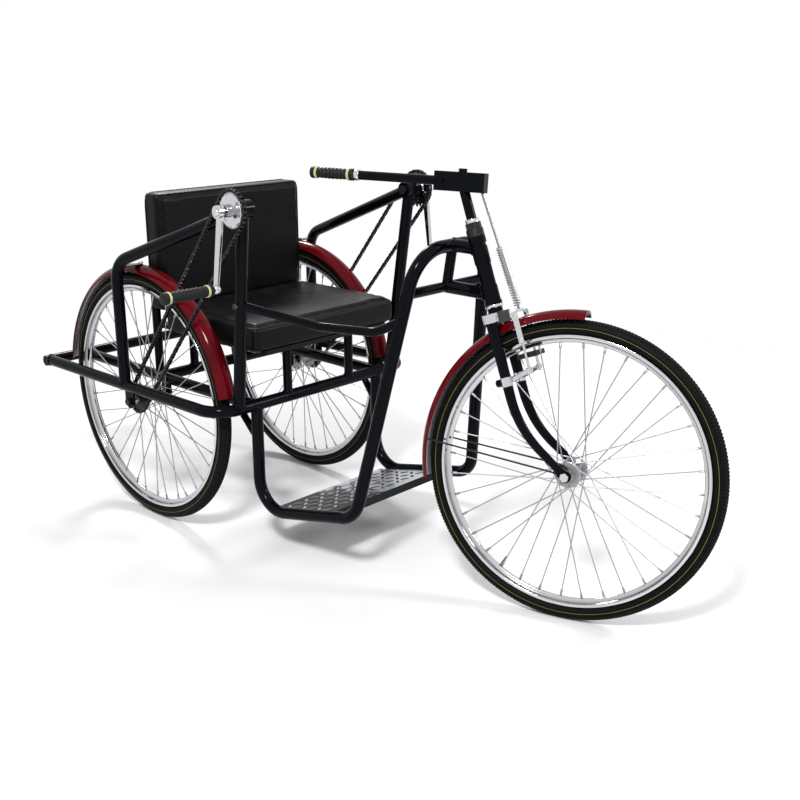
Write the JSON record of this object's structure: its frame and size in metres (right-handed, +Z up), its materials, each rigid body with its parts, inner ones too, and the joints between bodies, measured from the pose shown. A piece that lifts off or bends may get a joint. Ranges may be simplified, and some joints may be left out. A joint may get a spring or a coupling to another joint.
{
  "type": "hand-cranked tricycle",
  "caption": "Open tube-frame tricycle for a seated rider, driven by hand cranks and chains at each side and steered by a tiller over the front wheel.",
  "frame": {"origin": "on the floor, below the middle of the length and the middle of the width", "axes": "+X forward, +Y to the rider's left, +Z up"},
  "size_m": [2.0045, 1.0904, 1.0314],
  "materials": {
    "frame_black": "gloss black enamel on steel tube",
    "guard_maroon": "dark maroon enamel on steel sheet",
    "bright_chrome": "bright plated steel",
    "black_tyre": "black bicycle tyre",
    "seat_vinyl": "black vinyl over foam",
    "seat_base": "dark painted board",
    "grip_rubber": "ribbed black rubber",
    "brake_rubber": "hard brake rubber",
    "chequer_plate": "bright chequer plate",
    "dark_steel": "oiled steel"
  },
  "bodies": {
    "frame": {"outer_rails": "frame_black", "rear_bar": "frame_black", "inner_rails": "frame_black", "mid_cross_tube": "frame_black", "wheel_posts": "frame_black", "crank_posts": "frame_black", "crank_shells": "frame_black", "foot_hoop": "frame_black", "leg_braces": "frame_black", "hoop_cross_tube": "frame_black", "hoop_strut": "frame_black", "head_stubs": "frame_black", "head_tube": "frame_black", "foot_platform": "chequer_plate", "seat_struts": "frame_black", "seat_board": "seat_base", "seat_cushion": "seat_vinyl", "backrest_posts": "frame_black", "backrest_cushion": "seat_vinyl", "guard_bar": "frame_black", "rear_mudguards": "guard_maroon", "mudguard_straps": "frame_black", "axle_plates": "frame_black", "rear_axles": "dark_steel", "chains": "dark_steel"},
    "steering": {"fork": "frame_black", "steerer": "frame_black", "headset_nut": "dark_steel", "tiller_block": "frame_black", "tiller_bar": "frame_black", "tiller_grip": "grip_rubber", "front_mudguard": "guard_maroon", "mudguard_stays": "dark_steel", "front_axle": "bright_chrome", "brake_stirrup": "bright_chrome", "brake_rod": "bright_chrome", "brake_shoes": "brake_rubber"},
    "front_wheel": {"tyre_front": "black_tyre", "rim_front": "bright_chrome", "hub_front": "bright_chrome"},
    "rear_wheel_right": {"tyre_rear_right": "black_tyre", "rim_rear_right": "bright_chrome", "hub_rear_right": "bright_chrome", "sprocket_right": "dark_steel"},
    "crank_right": {"crank_spindle_right": "dark_steel", "chainwheel_right": "bright_chrome", "crank_arm_right": "bright_chrome", "crank_grip_right": "grip_rubber"},
    "rear_wheel_left": {"tyre_rear_left": "black_tyre", "rim_rear_left": "bright_chrome", "hub_rear_left": "bright_chrome", "sprocket_left": "dark_steel"},
    "crank_left": {"crank_spindle_left": "dark_steel", "chainwheel_left": "bright_chrome", "crank_arm_left": "bright_chrome", "crank_grip_left": "grip_rubber"}
  },
  "joints": [
    {"name": "steering_turn", "type": "hinge", "parent": "frame", "child": "steering", "pos_m": [0.70931, 0, 0], "axis": [-0.3486, 0, 0.9373], "range_deg": [-63.3, 26.7]},
    {"name": "front_wheel_spin", "type": "hinge", "parent": "steering", "child": "front_wheel", "pos_m": [0.66036, 0.02575, 0.35497], "axis": [-0.2943, 0.9494, -0.1094], "continuous": true},
    {"name": "rear_wheel_right_spin", "type": "hinge", "parent": "frame", "child": "rear_wheel_right", "pos_m": [-0.56337, -0.292, 0.357], "axis": [0, 1, 0], "continuous": true},
    {"name": "rear_wheel_left_spin", "type": "hinge", "parent": "frame", "child": "rear_wheel_left", "pos_m": [-0.56337, 0.292, 0.357], "axis": [0, 1, 0], "continuous": true},
    {"name": "crank_right_spin", "type": "hinge", "parent": "frame", "child": "crank_right", "pos_m": [-0.10337, -0.352, 0.927], "axis": [0, 1, 0], "continuous": true},
    {"name": "crank_left_spin", "type": "hinge", "parent": "frame", "child": "crank_left", "pos_m": [-0.10337, 0.352, 0.927], "axis": [0, 1, 0], "continuous": true}
  ]
}
